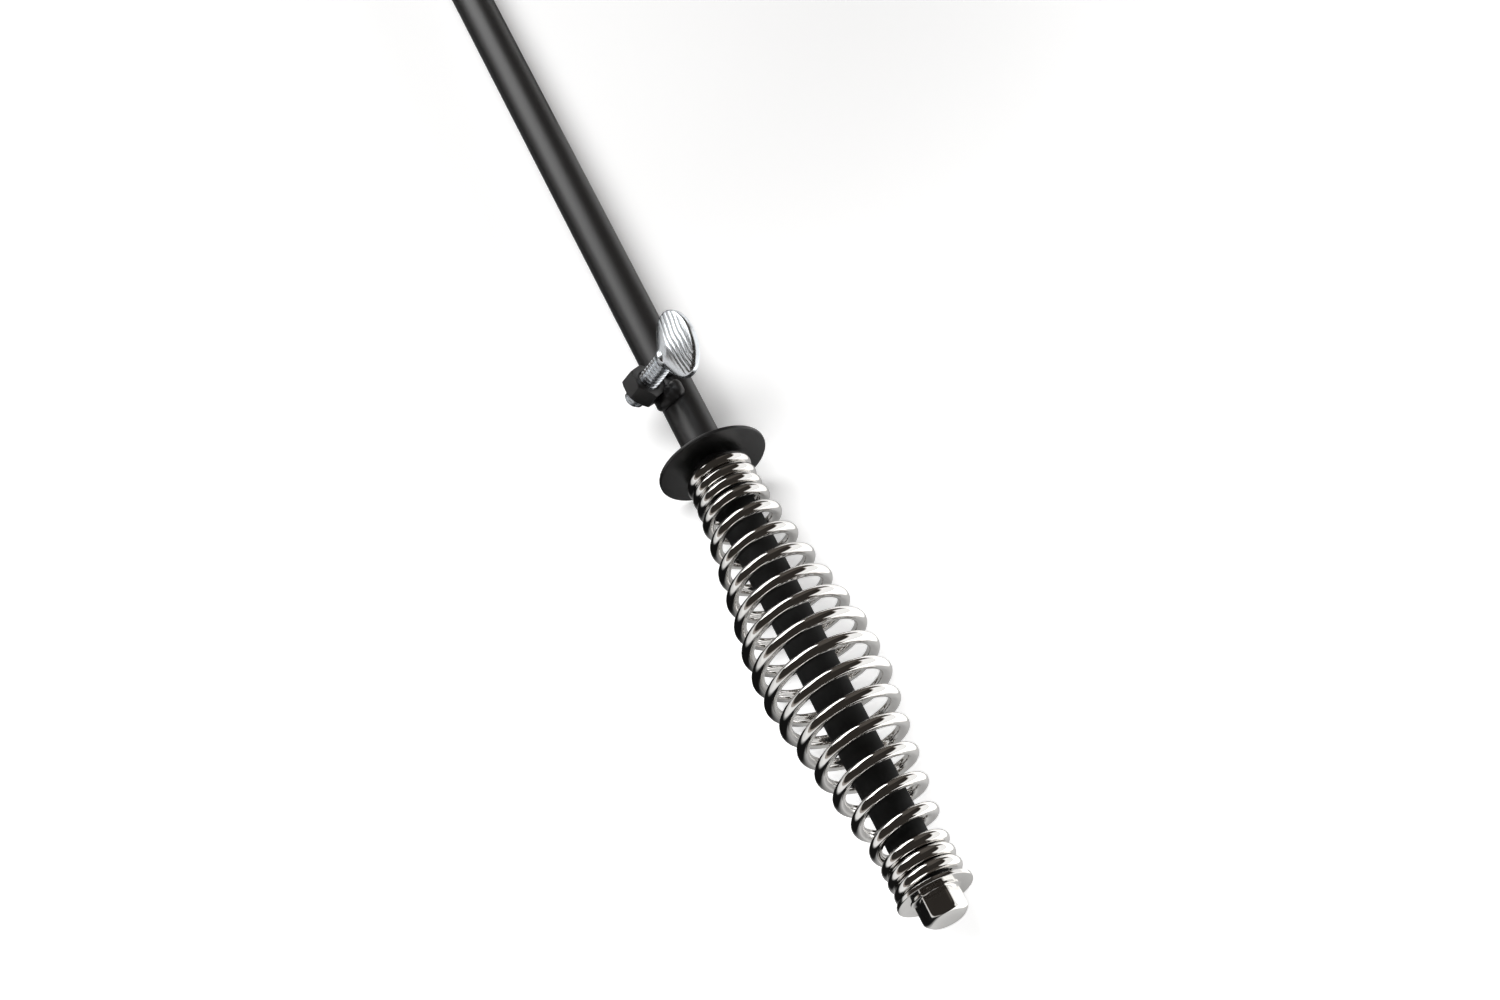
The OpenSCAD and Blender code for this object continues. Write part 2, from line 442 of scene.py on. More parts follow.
def make_skin_group():
    group = new_group("metal_skin", {"Grain": 0.4, "Drift": 12.0}, ["Height", "Shade"])
    source = add(group, "NodeGroupInput")
    result = add(group, "NodeGroupOutput")
    place = add(group, "ShaderNodeTexCoord")
    for size, detail, roughness, output in (
        ("Grain", 3.0, 0.55, "Height"),
        ("Drift", 2.0, 0.5, "Shade"),
    ):
        pattern = add(group, "ShaderNodeTexNoise", Detail=detail, Roughness=roughness)
        per_metre = combined(group, "DIVIDE", 1 / MM, source.outputs[size])
        join_up(
            group,
            (place.outputs["Object"], pattern.inputs["Vector"]),
            (per_metre, pattern.inputs["Scale"]),
            (pattern.outputs["Fac"], result.inputs[output]),
        )
    return group


metal_skin = make_skin_group()
print("effect:", metal_skin.name)

# %% Scratch group
SCRATCH_FROM = 0.52
SCRATCH_FULL = 0.75


def make_scratch_group():
    group = new_group("fine_scratches", {"Length": 6.0, "Width": 0.25, "Amount": 0.5}, ["Mask"])
    source = add(group, "NodeGroupInput")
    result = add(group, "NodeGroupOutput")
    place = add(group, "ShaderNodeTexCoord")
    stretch = add(group, "ShaderNodeCombineXYZ")
    along = combined(group, "DIVIDE", 1 / MM, source.outputs["Length"])
    across = combined(group, "DIVIDE", 1 / MM, source.outputs["Width"])
    scaled = add(group, "ShaderNodeVectorMath", operation="MULTIPLY")
    lines = add(group, "ShaderNodeTexNoise", Scale=1.0, Detail=4.0, Roughness=0.6)
    ramp = add(group, "ShaderNodeMapRange", From_Min=SCRATCH_FROM, From_Max=SCRATCH_FULL)
    mask = combined(group, "MULTIPLY", ramp.outputs[0], source.outputs["Amount"])
    join_up(
        group,
        (along, stretch.inputs["X"]),
        (across, stretch.inputs["Y"]),
        (across, stretch.inputs["Z"]),
        (place.outputs["Object"], scaled.inputs[0]),
        (stretch.outputs[0], scaled.inputs[1]),
        (scaled.outputs[0], lines.inputs["Vector"]),
        (lines.outputs["Fac"], ramp.inputs["Value"]),
        (mask, result.inputs["Mask"]),
    )
    return group


fine_scratches = make_scratch_group()
print("effect:", fine_scratches.name)

# %% [markdown]
# ## A base for every finish
#
# Every finish starts as a new material with the Principled shader, which can be most real
# surfaces. A value that is the same all over is set on the shader's own socket, and only what
# changes over the surface comes from nodes.

# %% New materials
def new_finish(name, **sockets):
    """A new material with its shader, some of whose sockets are filled."""
    finish = bpy.data.materials.new(name)
    finish.use_nodes = True
    tree = finish.node_tree
    shader = tree.nodes["Principled BSDF"]
    for socket, value in sockets.items():
        shader.inputs[socket.replace("_", " ")].default_value = value
    return finish, tree, shader


def add_group(tree, group, **values):
    """Places a node group in a material, with its own values."""
    node = add(tree, "ShaderNodeGroup")
    node.node_tree = group
    for name, value in values.items():
        node.inputs[name].default_value = value
    return node


# %% [markdown]
# ## Satin black paint
#
# The tube, guard, nut and welds are sprayed after they are joined, with a satin black. Its
# skin is slightly uneven, so a wide soft highlight breaks up a little at its edges. On the
# length that the spring covers the paint is rougher, and its colour is darker there as a
# painted shade, which stands for the shade that the turns cast on the tube.

# %% Black paint
PAINT_SHADES = ((0.006, 0.006, 0.0063), (0.011, 0.0105, 0.0105))
PAINT_ROUGHNESS = (0.40, 0.47)
PAINT_GRAIN_DEPTH = 0.02 * MM
# painted shade: the paint's colour on the length under the spring, darkened for the shade of the
# turns
PAINTED_SHADE_UNDER_SPRING = (0.003, 0.003, 0.003)
COVERED_ROUGHNESS = 0.8


def make_black_paint():
    finish, tree, shader = new_finish("satin_black_paint", IOR=1.65)
    skin = add_group(tree, metal_skin, Grain=0.35, Drift=14.0)
    marks = add_group(tree, fine_scratches, Length=9.0, Width=0.3, Amount=0.35)
    _, axes = coordinates(tree, "Object")
    # the length under the spring, which gets a rougher paint and a painted shade in its colour
    under_spring_shade_and_dullness = stepped(tree, axes["X"], GUARD_FACE + MM, GUARD_FACE + 2 * MM)
    shade = blend_colours(tree, skin.outputs["Shade"], *PAINT_SHADES)
    roughness = between(tree, marks.outputs["Mask"], *PAINT_ROUGHNESS)
    relief = bump(tree, skin.outputs["Height"], PAINT_GRAIN_DEPTH, 0.6)
    join_up(
        tree,
        (blend_colours(tree, under_spring_shade_and_dullness, shade, PAINTED_SHADE_UNDER_SPRING), shader.inputs["Base Color"]),
        (blend_numbers(tree, under_spring_shade_and_dullness, roughness, COVERED_ROUGHNESS), shader.inputs["Roughness"]),
        (relief, shader.inputs["Normal"]),
    )
    return finish


black_paint = make_black_paint()
print("finish:", black_paint.name)

# %% [markdown]
# ## Polished and plated metal
#
# The spring is nickel-chrome plated wire, nearly a mirror. The bolt and washer have the same
# plating over a plainer surface, and the thumb screw is zinc plated, which is bluer and
# softer. The plug inside the tube is bare steel. All are one metal shader with other numbers.

# %% Plated finishes
def make_plating(name, colours, roughness, grain_mm, depth_mm, scratches):
    finish, tree, shader = new_finish(name, Metallic=1.0)
    skin = add_group(tree, metal_skin, Grain=grain_mm, Drift=6.0)
    marks = add_group(tree, fine_scratches, Length=4.0, Width=0.15, Amount=scratches)
    join_up(
        tree,
        (blend_colours(tree, skin.outputs["Shade"], *colours), shader.inputs["Base Color"]),
        (between(tree, marks.outputs["Mask"], *roughness), shader.inputs["Roughness"]),
        (bump(tree, skin.outputs["Height"], depth_mm * MM, 0.5), shader.inputs["Normal"]),
    )
    return finish


spring_chrome = make_plating(
    "spring_chrome",
    colours=((0.80, 0.785, 0.765), (0.88, 0.87, 0.85)),
    roughness=(0.03, 0.10),
    grain_mm=1.5,
    depth_mm=0.002,
    scratches=0.5,
)
bolt_plating = make_plating(
    "bolt_plating",
    colours=((0.72, 0.71, 0.69), (0.82, 0.81, 0.79)),
    roughness=(0.10, 0.26),
    grain_mm=0.8,
    depth_mm=0.004,
    scratches=0.6,
)
bright_zinc = make_plating(
    "bright_zinc",
    colours=((0.78, 0.81, 0.84), (0.88, 0.91, 0.94)),
    roughness=(0.25, 0.38),
    grain_mm=0.5,
    depth_mm=0.012,
    scratches=0.6,
)
plug_steel = make_plating(
    "plug_steel",
    colours=((0.38, 0.38, 0.39), (0.46, 0.46, 0.47)),
    roughness=(0.30, 0.45),
    grain_mm=0.5,
    depth_mm=0.01,
    scratches=0.6,
)
print("finishes:", [m.name for m in bpy.data.materials if m.use_nodes])

# %% [markdown]
# ## Dressing a piece
#
# A finished piece gets its one material. It also says which moving body it rides on, and the
# solids of the frame that it takes the place of are hidden.

# %% Giving a piece its finish
def dress(piece, finish, body, slot, *solids):
    """Gives a piece its one material and its body, and hides the solids it stands for. The slot
    is not used.
    """
    piece.data.materials.clear()
    piece.data.materials.append(finish)
    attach(piece, body)
    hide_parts(*solids)
    report(piece)


# %% [markdown]
# ## The tube
#
# Half-inch drawn steel tube, open at the far end. A capped cylinder is the start. Each cap is
# inset by the wall and pushed inwards, which makes the bore from one side and the wider seat
# for the end plug from the other. Where the two meet, the loops are bridged.

# %% Tube
PLUG_ROOM = 0.6 * MM
PLUG_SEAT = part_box("end_plug")[0].x - PLUG_ROOM
PLUG_SEAT_STEP = 0.35 * MM
LYING = (0, math.pi / 2, 0)
FACING = 0.9

bpy.ops.mesh.primitive_cylinder_add(
    vertices=ROUND_STEPS,
    radius=TUBE_R,
    depth=TUBE_END,
    end_fill_type="NGON",
    location=(TUBE_END / 2, 0, 0),
    rotation=LYING,
)
tube = named("tube_skin")

pick(tube, "FACE", lambda f: f.normal.x < -FACING)
bpy.ops.mesh.inset(thickness=TUBE_WALL)
bpy.ops.mesh.extrude_region_move(TRANSFORM_OT_translate={"value": (PLUG_SEAT, 0, 0)})
close_edit()

pick(tube, "FACE", lambda f: f.normal.x > FACING)
bpy.ops.mesh.inset(thickness=TUBE_WALL - PLUG_SEAT_STEP)
bpy.ops.mesh.extrude_region_move(
    TRANSFORM_OT_translate={"value": (PLUG_SEAT - TUBE_END, 0, 0)}
)
close_edit()

# the caps now lie back to back in the seat's plane, and the loops that they leave are bridged
pick(
    tube,
    "FACE",
    lambda f: len(f.verts) > 4 and abs(f.calc_center_median().x - PLUG_SEAT) < NEAR,
)
bpy.ops.mesh.delete(type="ONLY_FACE")
close_edit()
pick(tube, "EDGE", lambda e: e.is_boundary)
bpy.ops.mesh.bridge_edge_loops()
close_edit()

# %% Soften the tube's mouth
MOUTH_CHAMFER = 0.4 * MM
MOUTH_INNER_CHAMFER = 0.2 * MM


def at_ring(edge, x, radius):
    """Does this edge lie on the circle of that radius at x?"""
    return all(
        abs(v.co.x - x) < NEAR and abs(math.hypot(v.co.y, v.co.z) - radius) < NEAR
        for v in edge.verts
    )


pick(tube, "EDGE", lambda e: at_ring(e, 0, TUBE_R))
bpy.ops.mesh.bevel(offset=MOUTH_CHAMFER, segments=3)
close_edit()
pick(tube, "EDGE", lambda e: at_ring(e, 0, TUBE_R - TUBE_WALL))
bpy.ops.mesh.bevel(offset=MOUTH_INNER_CHAMFER, segments=2)
close_edit()
smooth(tube)
dress(tube, black_paint, "handle", "black_paint", "shaft_tube")

# %% [markdown]
# ## The guard
#
# The guard is a punched round plate whose rim is a little rounded. The lathe turns the plate,
# and a cylinder punches the hole that the tube fills.

# %% Guard plate
GUARD_T = GUARD_FACE - GUARD_BACK
GUARD_ROUND = 0.35 * MM
HOLE_GAP = 0.05 * MM


def punch(plate, radius, thickness, steps):
    """Punches a round hole through a plate that stands on z = 0."""
    bpy.ops.mesh.primitive_cylinder_add(vertices=steps, radius=radius, depth=4 * thickness)
    cut_with(plate, named("hole_punch"), "DIFFERENCE")


guard = turned(
    "guard_plate",
    [(0, 0)]
    + rounded((GUARD_R - GUARD_ROUND, GUARD_ROUND), GUARD_ROUND, -90, 0)
    + rounded((GUARD_R - GUARD_ROUND, GUARD_T - GUARD_ROUND), GUARD_ROUND, 0, 90)
    + [(0, GUARD_T)],
    steps=RIM_STEPS,
)
punch(guard, TUBE_R + HOLE_GAP, GUARD_T, ROUND_STEPS)
lay(guard, GUARD_BACK)
smooth(guard)
dress(guard, black_paint, "handle", "black_paint", "guard_disc")

# %% [markdown]
# ## The guard's weld
#
# A fillet of weld holds the guard to the tube on the far side. The weld's ripples are the
# frozen edges of the small pools that the welder laid one after the other, so the ring of a
# torus is swelled in steps round the tube, and each step leans with the height.

# %% Guard weld
FILLET_R = 1.5 * MM
FILLET_RING_R = TUBE_R + 0.6 * MM
FILLET_BACK = 0.5 * MM
POOLS = 30
POOL_LEAN = 0.9
POOL_LOW = 0.93
POOL_SWELL = 0.12
POOL_WANDER = 0.10
NOISE_RING = 3
NOISE_HEIGHT = 0.5

bpy.ops.mesh.primitive_torus_add(
    major_segments=240, minor_segments=20, major_radius=FILLET_RING_R, minor_radius=FILLET_R
)
fillet = named("guard_fillet_weld")
for vertex in fillet.data.vertices:
    angle = math.atan2(vertex.co.y, vertex.co.x)
    round_tube = Vector((math.cos(angle), math.sin(angle), 0))
    ring = round_tube * FILLET_RING_R
    out = vertex.co - ring
    pool = (angle / (2 * math.pi) * POOLS + POOL_LEAN * out.z / FILLET_R) % 1
    wander = noise.noise(
        Vector((NOISE_RING * math.cos(angle), NOISE_RING * math.sin(angle), NOISE_HEIGHT))
    )
    vertex.co = ring + out * (POOL_LOW + POOL_SWELL * pool**2 + POOL_WANDER * wander)
lay(fillet, GUARD_BACK - FILLET_BACK)
smooth(fillet, 60)
dress(fillet, black_paint, "handle", "black_paint", "guard_weld")

# %% [markdown]
# ## The spring
#
# The grip is one length of wire, wound close at both ends and open in the middle, where it
# also swells to a belly. A screw tool makes only even coils, so the wire's centre line is a
# curve whose points come from a formula: the pitch grows and shrinks over soft steps, and
# the radius follows the distance from the belly.

# %% The coil's formula
GRIP_LEN = 150.6 * MM
SOLID_WIRE_R = 1.8 * MM
WIRE_R = 1.875 * MM
SEAT_GAP = 0.1 * MM
TURNS = 20.05
CLOSE_TURNS_GUARD = 3.85
CLOSE_TURNS_END = 2.7
OPENING_TURNS = 2.0
CLOSING_TURNS = 0.6
CLOSE_PITCH = 4.06 * MM
SQUEEZE = 0.65 * MM
BELLY_OUTER_R = 19 * MM
BELLY_R = BELLY_OUTER_R - SOLID_WIRE_R
NECK_R = 8.831 * MM
CROWN_LEN = 17 * MM
TAPER_LEN = 56 * MM
TAPER_POWER = 1.15
START_ANGLE = math.radians(216)

COIL_SPAN = GRIP_LEN - 2 * (SOLID_WIRE_R + SEAT_GAP)
OPEN_FROM = CLOSE_TURNS_GUARD
OPEN_TO = TURNS - CLOSE_TURNS_END
OPEN_PITCH = CLOSE_PITCH + (COIL_SPAN - CLOSE_PITCH * TURNS) / (OPEN_TO - OPEN_FROM)


def soft_step_sum(turns, middle, width):
    """The integral of a step from 0 to 1 at middle that is spread over width turns."""
    u = (turns - middle) / width + 0.5
    if u <= 0:
        return 0.0
    if u >= 1:
        return turns - middle
    return width * u * u / 2


def coil_point(turns):
    """The point of the wire's centre line after so many turns."""
    opening = soft_step_sum(turns, OPEN_FROM, OPENING_TURNS)
    closing = soft_step_sum(turns, OPEN_TO, CLOSING_TURNS)
    opened = clamped((turns - OPEN_FROM) / (OPEN_TO - OPEN_FROM))
    along = CLOSE_PITCH * turns + (OPEN_PITCH - CLOSE_PITCH) * (opening - closing)
    along += SQUEEZE * math.sin(2 * math.pi * opened)
    away = (abs(along - COIL_SPAN / 2) - CROWN_LEN / 2) / TAPER_LEN
    swell = (1 - clamped(away)) ** TAPER_POWER
    radius = NECK_R + (BELLY_R - NECK_R) * swell
    angle = START_ANGLE + 2 * math.pi * turns
    x = GUARD_FACE + SEAT_GAP + SOLID_WIRE_R + along
    return Vector((x, radius * math.cos(angle), radius * math.sin(angle)))


print(f"open pitch {OPEN_PITCH / MM:.2f} mm, belly {2 * (BELLY_R + WIRE_R) / MM:.1f} mm across")

# %% [markdown]
# ## The spring's wire
#
# A curve with a round bevel is the natural way to make wire: the bevel's depth is the wire's
# radius, and the ends are filled. It is then made a mesh, so that the cut ends can be inset a
# little, as a file breaks the sharp edge that the cutter leaves.

# %% The wire
POINTS_PER_TURN = 72
DEBURR_WIDTH = 0.25 * MM
DEBURR_HEIGHT = 0.18 * MM

wire_curve = bpy.data.curves.new("spring_wire", "CURVE")
wire_curve.dimensions = "3D"
wire_curve.bevel_depth = WIRE_R
wire_curve.bevel_resolution = 9
wire_curve.use_fill_caps = True
centre_line = wire_curve.splines.new("POLY")
steps_of_wire = round(TURNS * POINTS_PER_TURN)
centre_line.points.add(steps_of_wire)
for i, point in enumerate(centre_line.points):
    point.co = (*coil_point(TURNS * i / steps_of_wire), 1)
hold(placed("spring_wire", wire_curve))
bpy.ops.object.convert(target="MESH")
spring = bpy.context.object

pick(spring, "FACE", lambda f: len(f.verts) > 4)
bpy.ops.mesh.inset(thickness=DEBURR_WIDTH, depth=DEBURR_HEIGHT)
close_edit()
smooth(spring, 40)
dress(spring, spring_chrome, "handle", "spring_chrome", "spring_grip")

# %% [markdown]
# ## The end washer
#
# The washer keeps the spring on the tube. It is punched from sheet, so the edge on its outer
# side is rolled over a little, and the one on its inner side is nearly sharp.

# %% Washer
WASHER_T = washer_high.x - washer_low.x
WASHER_ROLL = 0.35 * MM
WASHER_EDGE = 0.12 * MM

washer = turned(
    "washer_plate",
    [(0, 0)]
    + rounded((WASHER_R - WASHER_EDGE, WASHER_EDGE), WASHER_EDGE, -90, 0, 3)
    + rounded((WASHER_R - WASHER_ROLL, WASHER_T - WASHER_ROLL), WASHER_ROLL, 0, 90, 6)
    + [(0, WASHER_T)],
    steps=RIM_STEPS,
)
punch(washer, THREAD_R + 3 * HOLE_GAP, WASHER_T, BORE_STEPS)
lay(washer, washer_low.x)
smooth(washer)
dress(washer, bolt_plating, "handle", "bolt_plating", "end_washer")

# %% [markdown]
# ## Hexagons and threads
#
# A bolt's head and a nut are hexagons whose ends a lathe has turned off to a cone, so a
# hexagonal block is cut by a turned tool solid with Boolean. A thread is a tooth's outline
# swept by the Screw modifier, one pitch for each turn. The swept turns are merged to one
# skin, both ends are closed to a point, and a turned blank cuts the rod to its length.

# %% A hexagon with turned ends
CHAMFER_SLOPE = 0.58
TOOL_MARGIN = 0.2 * MM


def hexagon(name, across_flats, height, low_chamfer, high_chamfer, turn_deg):
    """A hexagonal block from z = 0, with a corner at the angle turn_deg from X."""
    corner = across_flats / math.sqrt(3)
    # a new cylinder has a corner on Y, hence the quarter turn back
    bpy.ops.mesh.primitive_cylinder_add(
        vertices=6,
        radius=corner,
        depth=height,
        location=(0, 0, height / 2),
        rotation=(0, 0, math.radians(turn_deg - 90)),
    )
    block = named(name)
    reach = corner + TOOL_MARGIN
    tool = turned(
        "turning_tool",
        [
            (0, -MM),
            (corner - low_chamfer - MM / CHAMFER_SLOPE, -MM),
            (reach, CHAMFER_SLOPE * (low_chamfer + TOOL_MARGIN)),
            (reach, height - CHAMFER_SLOPE * (high_chamfer + TOOL_MARGIN)),
            (corner - high_chamfer - MM / CHAMFER_SLOPE, height + MM),
            (0, height + MM),
        ],
        steps=120,
    )
    cut_with(block, tool, "INTERSECT")
    return block


# %% A threaded rod
THREAD_PITCH = 1.27 * MM
THREAD_DEPTH = 0.61 * THREAD_PITCH
THREAD_STEPS = 48
SPARE_TURNS = 2
TIP_CHAMFER = 0.8 * MM


def threaded_rod(name, length):
    """A rod from z = 0 with a coarse unified thread and a chamfer at its foot."""
    root = THREAD_R - THREAD_DEPTH
    tooth = [(root, 0), (root, 0.25), (THREAD_R, 0.55), (THREAD_R, 0.7), (root, 1)]
    rod = drawn(name, [(radius, part * THREAD_PITCH) for radius, part in tooth])
    turns = math.ceil(length / THREAD_PITCH) + 2 * SPARE_TURNS
    shape_with(
        rod,
        "SCREW",
        axis="Z",
        screw_offset=THREAD_PITCH,
        iterations=turns,
        steps=THREAD_STEPS,
        render_steps=THREAD_STEPS,
    )
    open_whole(rod)
    bpy.ops.mesh.remove_doubles(threshold=MERGE_GAP)
    close_edit()
    middle = turns * THREAD_PITCH / 2
    for low_end in (True, False):
        pick(
            rod,
            "EDGE",
            lambda e, low_end=low_end: e.is_boundary and (e.verts[0].co.z < middle) == low_end,
        )
        bpy.ops.mesh.extrude_edges_move()
        bpy.ops.mesh.merge(type="CENTER")
        close_edit()
    open_whole(rod)
    bpy.ops.mesh.normals_make_consistent(inside=False)
    close_edit()
    stand(rod, Matrix.Translation((0, 0, -SPARE_TURNS * THREAD_PITCH)))
    blank = turned(
        "rod_blank",
        [
            (0, 0),
            (THREAD_R - TIP_CHAMFER, 0),
            (THREAD_R + MM, TIP_CHAMFER + MM),
            (THREAD_R + MM, length),
            (0, length),
        ],
        steps=BORE_STEPS,
    )
    cut_with(rod, blank, "INTERSECT")
    return rod


# %% [markdown]
# ## The end bolt
#
# The bolt's head stands on a small flange that flares out in a hollow curve. The head is cold
# forged, so its edges are well rounded: Remesh gives it an even grid, and Smooth melts the
# edges down. Melting eats a little of the head, so its blank is made that much larger.

# %% End bolt
HEAD_AF = 12 * MM
HEAD_H = 7.8 * MM
HEAD_FOOT_CHAMFER = 0.1 * MM
HEAD_CHAMFER = 2.3 * MM
HEAD_TURN_DEG = 15
HEAD_GRID = 0.26 * MM
MELT = 0.3 * MM
FLANGE_R = 7.6 * MM
FLANGE_RIM = 0.35 * MM
FLANGE_H = 1.5 * MM
FLANGE_FLARE = 1.5 * MM
FLARE_STEPS = 10
BOLT_LEN = HEAD_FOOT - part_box("end_bolt")[0].x
BOLT_IN_HEAD = 1 * MM

head = hexagon(
    "hex_bolt", HEAD_AF + MELT, HEAD_H + MELT / 2, HEAD_FOOT_CHAMFER, HEAD_CHAMFER, HEAD_TURN_DEG
)
melt(head, HEAD_GRID, rounds=90)
flare_angles = [math.radians(90 * i / FLARE_STEPS) for i in range(1, FLARE_STEPS + 1)]
flange = turned(
    "flange",
    [(0, 0), (FLANGE_R, 0), (FLANGE_R, FLANGE_RIM)]
    + [
        (FLANGE_R - FLANGE_FLARE * math.sin(a), FLANGE_RIM + FLANGE_H * (1 - math.cos(a)))
        for a in flare_angles
    ]
    + [(0, FLANGE_RIM + FLANGE_H)],
)
shank = threaded_rod("bolt_shank", BOLT_LEN + BOLT_IN_HEAD)
stand(shank, Matrix.Translation((0, 0, -BOLT_LEN)))
bolt = join("hex_bolt", [head, flange, shank])
lay(bolt, HEAD_FOOT)
smooth(bolt)
dress(bolt, bolt_plating, "handle", "bolt_plating", "end_bolt")

# %% [markdown]
# ## The clamp nut
#
# The nut lies on its side with one flat against the tube, and it is painted with the tube, so
# its edges are round with paint. Its bore is countersunk at both ends, and the screw's thread
# shows only outside it, so the bore is left plain.

# %% Clamp nut
NUT_AF = 11.1 * MM
NUT_H = 5.6 * MM
NUT_CHAMFER = 0.7 * MM
NUT_SINK = 0.5 * MM
NUT_BORE_R = THREAD_R + HOLE_GAP
PAINT_ROUND = 0.22 * MM
SHARP_RAD = 0.5

nut = hexagon("clamp_nut_painted", NUT_AF, NUT_H, NUT_CHAMFER, NUT_CHAMFER, 0)
tap = turned(
    "tap",
    [
        (0, -MM),
        (NUT_BORE_R + NUT_SINK + MM, -MM),
        (NUT_BORE_R, NUT_SINK),
        (NUT_BORE_R, NUT_H - NUT_SINK),
        (NUT_BORE_R + NUT_SINK + MM, NUT_H + MM),
        (0, NUT_H + MM),
    ],
    steps=BORE_STEPS,
)
cut_with(nut, tap, "DIFFERENCE")
shape_with(
    nut, "BEVEL", width=PAINT_ROUND, segments=3, limit_method="ANGLE", angle_limit=SHARP_RAD
)
stand(nut, ON_SCREW @ Matrix.Translation((0, 0, -NUT_H / 2)))
smooth(nut)
dress(nut, black_paint, "handle", "black_paint", "clamp_nut")

# %% [markdown]
# ## The nut's welds
#
# On each side of the nut a short run of weld fills the corner to the tube. A run is modelled
# as drops along the tube's side, each with a mate closer to the nut. Remesh melts them into
# one lump and Smooth relaxes it, as surface tension does. A cylinder then takes away what
# would lie inside the tube.

# %% Weld beads beside the nut
BEAD_R = 2.2 * MM
BEAD_MIDDLE = 0.12
BEAD_REACH = 0.56
BEAD_OUT = 0.46 * NUT_AF
BEAD_BULGE = 1.1 * MM
BEAD_GRID = 0.2 * MM
BEAD_BITE = 0.2 * MM
BLANK_LEN = 40 * MM
DROPS = 7
DROP_GROWTH = 0.22
DROP_SIZES = (0.94, 1.04)
MATE_STEP = 1.6 * MM


def weld_bead(name, side, solid, seed):
    """A run of weld on one side of the nut, which is +1 towards the grip and -1 away."""
    chance = random.Random(seed)
    drops = []
    for i in range(DROPS):
        t = 2 * i / (DROPS - 1) - 1
        z = TUBE_R * (BEAD_MIDDLE + BEAD_REACH * t)
        bpy.ops.mesh.primitive_uv_sphere_add(
            segments=32,
            ring_count=20,
            radius=BEAD_R * (1 + DROP_GROWTH * t) * chance.uniform(*DROP_SIZES),
            location=(
                side * (BEAD_OUT + BEAD_BULGE * (1 - t * t)),
                NUT_TO_TUBE - math.sqrt(TUBE_R**2 - z**2),
                z,
            ),
        )
        drops.append(named("drop"))
        bpy.ops.object.duplicate_move(
            TRANSFORM_OT_translate={"value": (-side * MATE_STEP, 0, 0)}
        )
        drops.append(bpy.context.object)
    bead = join(name, drops)
    melt(bead, BEAD_GRID, rounds=18)
    bpy.ops.mesh.primitive_cylinder_add(
        vertices=ROUND_STEPS,
        radius=TUBE_R - BEAD_BITE,
        depth=BLANK_LEN,
        location=(0, NUT_TO_TUBE, 0),
        rotation=LYING,
    )
    cut_with(bead, named("tube_blank"), "DIFFERENCE")
    stand(bead, ON_SCREW)
    smooth(bead, 40)
    dress(bead, black_paint, "handle", "black_paint", solid)


weld_bead("weld_bead_grip_side", 1, "nut_weld_grip_side", seed=3)
weld_bead("weld_bead_far_side", -1, "nut_weld_far_side", seed=8)

# %% [markdown]
# ## The thumb screw's shank
#
# The screw has a coarse thread that runs right up to the head. At rest it is half way in: its
# tip stands out below the nut, and some bare thread shows above it.

# %% Screw thread
TIP_OUT = 4.2 * MM
SCREW_OUT = 8.4 * MM

screw = threaded_rod("screw_thread", TIP_OUT + NUT_H + SCREW_OUT)
stand(screw, ON_SCREW @ Matrix.Translation((0, 0, -NUT_H / 2 - TIP_OUT)))
smooth(screw)
dress(screw, bright_zinc, "screw_shank", "bright_zinc", "thumb_screw_shank")

# %% [markdown]
# ## The spade head
#
# The head is a forged spade: flat, oval, thick at the neck and thinner at the rim. Its blank
# is the hull of two buttons that stand on edge, a small thick one at the neck and a wide thin
# one above it, and a turned neck joins it to the shank. Remesh and Smooth make one soft skin.

# %% Spade head blank
WING_W = 24.2 * MM
WING_H = 15.6 * MM
WING_RIM_T = 3.0 * MM
WING_NECK_T = 6.0 * MM
WING_GRID = 0.16 * MM
BUTTON_ROUND = 0.3
OVAL_LIFT = 0.6 * MM
OVAL_H = WING_H - OVAL_LIFT
NECK_BUTTON_R = THREAD_R + 0.5 * MM
NECK_SWELL_H = 1.8 * MM
NECK_TOP_R = 0.6 * THREAD_R
NECK_TOP_H = 5.5 * MM
NECK_H = 6 * MM


def button(radius, thickness, height):
    """A round button that stands on edge, with its flat sides towards Y."""
    bpy.ops.mesh.primitive_cylinder_add(
        vertices=ROUND_STEPS,
        radius=radius,
        depth=thickness,
        location=(0, 0, height),
        rotation=(math.pi / 2, 0, 0),
    )
    made = named("button")
    pick(made, "EDGE", lambda e: abs(e.verts[0].co.y - e.verts[1].co.y) < NEAR)
    bpy.ops.mesh.bevel(offset=BUTTON_ROUND * thickness, segments=4)
    close_edit()
    return made


neck_button = button(NECK_BUTTON_R, WING_NECK_T, NECK_BUTTON_R)
oval = button(OVAL_H / 2, WING_RIM_T, OVAL_LIFT + OVAL_H / 2)
stand(oval, Matrix.Diagonal((WING_W / OVAL_H, 1, 1, 1)))
spade = join("spade_head", [neck_button, oval])
open_whole(spade)
bpy.ops.mesh.convex_hull()
close_edit()
neck = turned(
    "neck",
    [
        (0, 0),
        (THREAD_R, 0),
        (NECK_BUTTON_R, NECK_SWELL_H),
        (NECK_TOP_R, NECK_TOP_H),
        (0, NECK_H),
    ],
)
spade = join("spade_head", [spade, neck])
melt(spade, WING_GRID, rounds=14)

# %% [markdown]
# ## The die lines
#
# The forging die leaves rough lines across both faces of the spade. They are pressed into the
# fine grid by a formula: a wave over the height that wanders a little, fades out towards the
# neck and the rim, and acts only where the surface faces the side.

